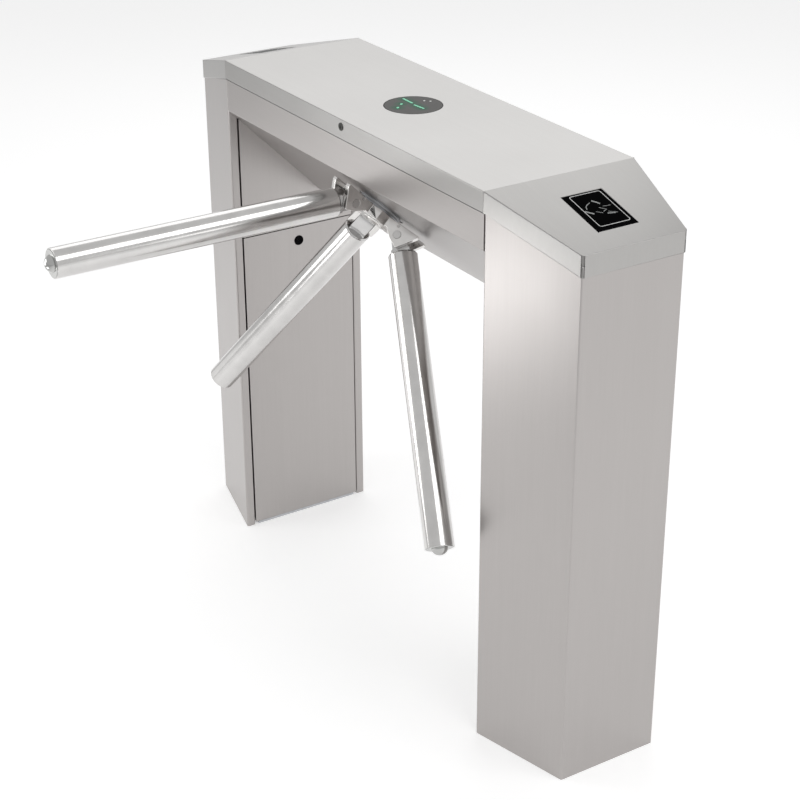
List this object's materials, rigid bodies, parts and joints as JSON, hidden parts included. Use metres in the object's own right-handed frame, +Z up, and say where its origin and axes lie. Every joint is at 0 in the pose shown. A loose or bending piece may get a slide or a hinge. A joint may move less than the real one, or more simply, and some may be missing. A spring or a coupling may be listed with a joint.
{
  "type": "tripod turnstile",
  "caption": "Bridge tripod turnstile of brushed stainless sheet: folded legs, slanted beam face, forked hub with polished drop arms, round display, card reader windows, indexing mechanism.",
  "frame": {"origin": "on the floor, at the centre of the anchor holes of both feet", "axes": "+Z up, +X along the length of the bridge, -Y towards the side with the hub and the arms"},
  "size_m": [1.204, 0.8191, 0.98],
  "materials": {
    "brushed_sheet": "brushed stainless sheet",
    "polished_arm": "polished stainless tube",
    "hub_metal": "polished cast stainless",
    "pin_steel": "ground steel pin",
    "dark_steel": "machined steel",
    "zinc_plate": "zinc plated sheet",
    "cast_alloy": "cast and milled alloy",
    "black_rubber": "matt moulded rubber",
    "black_plastic": "fine grained moulding",
    "grey_plastic": "extruded duct",
    "white_plastic": "moulded pinion",
    "green_board": "solder resist",
    "smoked_lens": "smoked lens",
    "black_glass": "black printed glass",
    "lock_black": "black lacquered lock"
  },
  "bodies": {
    "housing": {"leg_shell_near": "brushed_sheet", "leg_shell_far": "brushed_sheet", "base_plates": "zinc_plate", "cable_grommets": "black_rubber", "beam_shell": "brushed_sheet", "upper_panel_near": "brushed_sheet", "upper_panel_far": "brushed_sheet", "cover_keeper": "brushed_sheet", "cable_duct": "grey_plastic", "power_supply": "zinc_plate", "control_board": "green_board", "mechanism_plate": "cast_alloy", "mounting_nuts": "dark_steel", "bearing_housing": "cast_alloy", "housing_bolts": "dark_steel", "shaft_bearings": "dark_steel", "pawl_pins": "dark_steel", "lock_solenoids": "dark_steel", "damper_body": "black_plastic", "turn_sensor": "black_plastic"},
    "tripod": {"tripod_hub": "hub_metal", "hub_bolts": "dark_steel", "hub_cap": "hub_metal", "main_shaft": "dark_steel", "index_disc": "dark_steel", "damper_gear": "cast_alloy", "sensor_disc": "black_plastic", "shaft_nut": "dark_steel", "arm_pins": "pin_steel"},
    "arm_a": {"arm_root_a": "polished_arm", "arm_tube_a": "polished_arm", "arm_cap_a": "polished_arm"},
    "arm_b": {"arm_root_b": "polished_arm", "arm_tube_b": "polished_arm", "arm_cap_b": "polished_arm"},
    "arm_c": {"arm_root_c": "polished_arm", "arm_tube_c": "polished_arm", "arm_cap_c": "polished_arm"},
    "pawl_left": {"lock_pawl_left": "cast_alloy"},
    "pawl_right": {"lock_pawl_right": "cast_alloy"},
    "solenoid_plunger_left": {"plunger_left": "dark_steel"},
    "solenoid_plunger_right": {"plunger_right": "dark_steel"},
    "pinion": {"damper_pinion": "white_plastic"},
    "cover": {"top_cover": "brushed_sheet", "display_lens": "smoked_lens", "display_housing": "black_plastic", "display_board": "green_board", "reader_window_near": "black_glass", "reader_window_far": "black_glass", "reader_module_near": "black_plastic", "reader_module_far": "black_plastic", "cover_lock": "lock_black"},
    "cover_cam": {"cover_lock_cam": "dark_steel"},
    "near_door": {"door_near": "brushed_sheet", "door_lock_near": "lock_black"},
    "far_door": {"door_far": "brushed_sheet", "door_lock_far": "lock_black"},
    "near_door_cam": {"door_cam_near": "dark_steel"},
    "far_door_cam": {"door_cam_far": "dark_steel"}
  },
  "joints": [
    {"name": "tripod_turn", "type": "hinge", "parent": "housing", "child": "tripod", "pos_m": [0, -0.06575, 0.81075], "axis": [0, -0.7071, -0.7071], "continuous": true},
    {"name": "arm_drop_a", "type": "hinge", "parent": "tripod", "child": "arm_a", "pos_m": [0, -0.1301, 0.83833], "axis": [1, 0, 0], "range_deg": [0, 90]},
    {"name": "arm_drop_b", "type": "hinge", "parent": "tripod", "child": "arm_b", "pos_m": [-0.05629, -0.06116, 0.76939], "axis": [-0.5, -0.6124, 0.6124], "range_deg": [0, 18]},
    {"name": "arm_drop_c", "type": "hinge", "parent": "tripod", "child": "arm_c", "pos_m": [0.05629, -0.06116, 0.76939], "axis": [-0.5, 0.6124, -0.6124], "range_deg": [0, 18]},
    {"name": "pinion_turn", "type": "hinge", "parent": "housing", "child": "pinion", "pos_m": [0.072, -0.01201, 0.86449], "axis": [0, -0.7071, -0.7071], "continuous": true},
    {"name": "pawl_left_swing", "type": "hinge", "parent": "housing", "child": "pawl_left", "pos_m": [-0.062, -0.03605, 0.88854], "axis": [0, -0.7071, -0.7071], "range_deg": [0, 12]},
    {"name": "pawl_right_swing", "type": "hinge", "parent": "housing", "child": "pawl_right", "pos_m": [-0.062, 0.01203, 0.84045], "axis": [0, 0.7071, 0.7071], "range_deg": [0, 12]},
    {"name": "plunger_left_slide", "type": "slide", "parent": "housing", "child": "solenoid_plunger_left", "axis": [0, 0.7071, -0.7071], "range_m": [0, 0.0055]},
    {"name": "plunger_right_slide", "type": "slide", "parent": "housing", "child": "solenoid_plunger_right", "axis": [0, -0.7071, 0.7071], "range_m": [0, 0.0055]},
    {"name": "cover_lift", "type": "slide", "parent": "housing", "child": "cover", "axis": [0, 0, 1], "range_m": [0, 0.15]},
    {"name": "cover_lock_turn", "type": "hinge", "parent": "cover", "child": "cover_cam", "pos_m": [0, -0.142, 0.967], "axis": [0, -1, 0], "range_deg": [0, 90]},
    {"name": "near_door_tilt", "type": "hinge", "parent": "housing", "child": "near_door", "pos_m": [0.415, 0, 0.0053], "axis": [0, -1, 0], "range_deg": [0, 15]},
    {"name": "far_door_tilt", "type": "hinge", "parent": "housing", "child": "far_door", "pos_m": [-0.415, 0, 0.0053], "axis": [0, 1, 0], "range_deg": [0, 15]},
    {"name": "near_door_lock_turn", "type": "hinge", "parent": "near_door", "child": "near_door_cam", "pos_m": [0.415, 0, 0.6], "axis": [1, 0, 0], "range_deg": [0, 90]},
    {"name": "far_door_lock_turn", "type": "hinge", "parent": "far_door", "child": "far_door_cam", "pos_m": [-0.415, 0, 0.6], "axis": [1, 0, 0], "range_deg": [0, 90]}
  ],
  "couplings": [
    {"joint": "pinion_turn", "follows": "tripod_turn", "ratio": -3},
    {"joint": "plunger_left_slide", "follows": "pawl_left_swing", "m_per_rad": 0.026},
    {"joint": "plunger_right_slide", "follows": "pawl_right_swing", "m_per_rad": 0.026}
  ]
}
